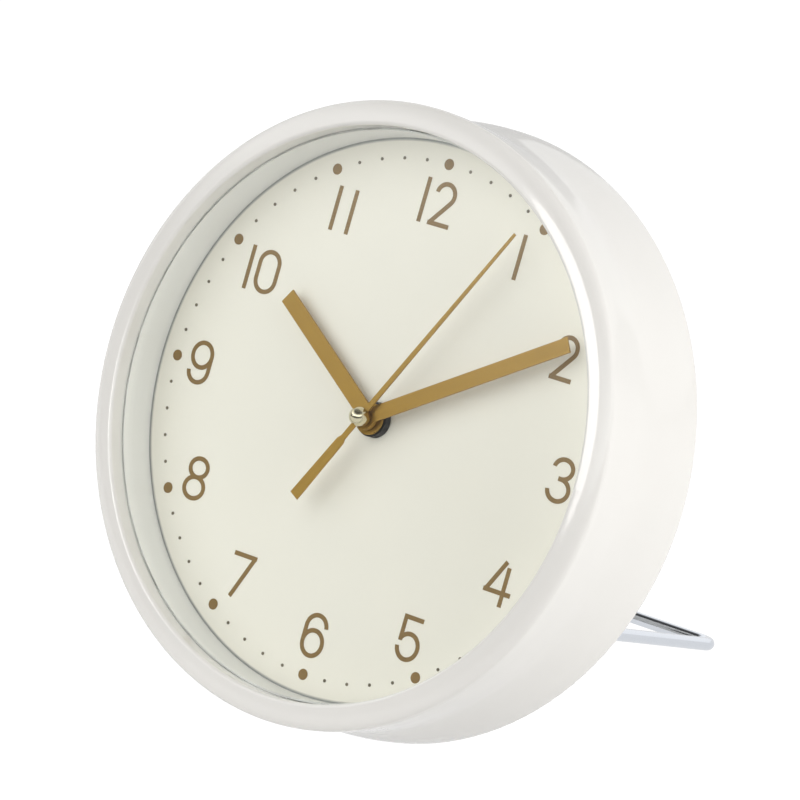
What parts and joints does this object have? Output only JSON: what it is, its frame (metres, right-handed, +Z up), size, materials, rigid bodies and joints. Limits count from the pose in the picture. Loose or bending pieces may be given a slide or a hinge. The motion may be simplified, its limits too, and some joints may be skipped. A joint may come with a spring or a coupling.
{
  "type": "analogue table clock",
  "caption": "Round white table clock with a cream dial, gold hands and a quartz movement, leaning back on a folding wire stand.",
  "frame": {"origin": "on the table, under the middle of the clock's overall box with the stand open", "axes": "+Z up, the dial faces -Y and leans back, +X towards three o'clock seen from the front"},
  "size_m": [0.1566, 0.131, 0.1564],
  "materials": {
    "case_white": "satin moulded white plastic",
    "clear_lens": "clear polished lens",
    "dial_cream": "matt cream dial",
    "print_gold": "matt gold-brown ink",
    "hand_gold": "satin gold",
    "cap_brass": "polished brass",
    "stand_chrome": "bright chrome plate",
    "screw_steel": "zinc-plated steel",
    "movement_black": "fine black moulding",
    "wheel_white": "natural white moulding",
    "magnet_grey": "sintered magnet",
    "soft_iron": "stamped soft iron",
    "copper": "enamelled copper wire",
    "board_green": "solder-masked board",
    "can_steel": "plated steel",
    "cell_grey": "plain printed cell jacket"
  },
  "bodies": {
    "case": {"case_shell": "case_white", "lens": "clear_lens", "inner_ring": "case_white", "dial": "dial_cream", "hour_numerals": "print_gold", "hour_dots": "print_gold", "minute_dots": "print_gold", "rear_cover": "case_white", "cover_screws": "screw_steel", "movement_base": "movement_black", "movement_cover": "movement_black", "stator": "soft_iron", "coil_bobbin": "wheel_white", "coil_winding": "copper", "circuit_board": "board_green", "chip": "movement_black", "quartz_can": "can_steel", "battery": "cell_grey", "positive_contact": "can_steel", "negative_contact": "can_steel"},
    "stand": {"wire_stand": "stand_chrome"},
    "seconds": {"seconds_wheel": "wheel_white", "seconds_hand": "hand_gold", "seconds_cap": "cap_brass"},
    "minute": {"minute_pipe": "wheel_white", "minute_hand": "hand_gold"},
    "hour": {"hour_wheel": "wheel_white", "hour_hand": "hand_gold"},
    "setting": {"reduction_wheel": "wheel_white", "setting_knob": "movement_black"},
    "centre": {"centre_wheel": "wheel_white"},
    "third": {"third_wheel": "wheel_white"},
    "intermediate": {"intermediate_wheel": "wheel_white"},
    "stepper": {"rotor": "magnet_grey"}
  },
  "joints": [
    {"name": "stand_fold", "type": "hinge", "parent": "case", "child": "stand", "pos_m": [0, -0.01643, 0.03753], "axis": [1, 0, 0], "range_deg": [0, 88.3]},
    {"name": "seconds_turn", "type": "hinge", "parent": "case", "child": "seconds", "pos_m": [0, -0.01914, 0.08056], "axis": [0, 0.9011, -0.4337], "continuous": true},
    {"name": "minute_turn", "type": "hinge", "parent": "case", "child": "minute", "pos_m": [0, -0.01914, 0.08056], "axis": [0, 0.9011, -0.4337], "continuous": true},
    {"name": "hour_turn", "type": "hinge", "parent": "case", "child": "hour", "pos_m": [0, -0.01914, 0.08056], "axis": [0, 0.9011, -0.4337], "continuous": true},
    {"name": "setting_turn", "type": "hinge", "parent": "case", "child": "setting", "pos_m": [-0.012, -0.01914, 0.08056], "axis": [0, 0.9011, -0.4337], "continuous": true},
    {"name": "centre_turn", "type": "hinge", "parent": "case", "child": "centre", "pos_m": [0, -0.01914, 0.08056], "axis": [0, 0.9011, -0.4337], "continuous": true},
    {"name": "third_turn", "type": "hinge", "parent": "case", "child": "third", "pos_m": [0.011, -0.01914, 0.08056], "axis": [0, 0.9011, -0.4337], "continuous": true},
    {"name": "intermediate_turn", "type": "hinge", "parent": "case", "child": "intermediate", "pos_m": [0, -0.01523, 0.08867], "axis": [0, 0.9011, -0.4337], "continuous": true},
    {"name": "rotor_turn", "type": "hinge", "parent": "case", "child": "stepper", "pos_m": [0.00822, -0.01394, 0.09137], "axis": [0, 0.9011, -0.4337], "continuous": true}
  ],
  "couplings": [
    {"joint": "hour_turn", "follows": "minute_turn", "ratio": 0.083333},
    {"joint": "setting_turn", "follows": "minute_turn", "ratio": -0.33333},
    {"joint": "third_turn", "follows": "seconds_turn", "ratio": -0.13333},
    {"joint": "centre_turn", "follows": "seconds_turn", "ratio": 0.016667},
    {"joint": "intermediate_turn", "follows": "seconds_turn", "ratio": -5},
    {"joint": "rotor_turn", "follows": "seconds_turn", "ratio": 30}
  ]
}
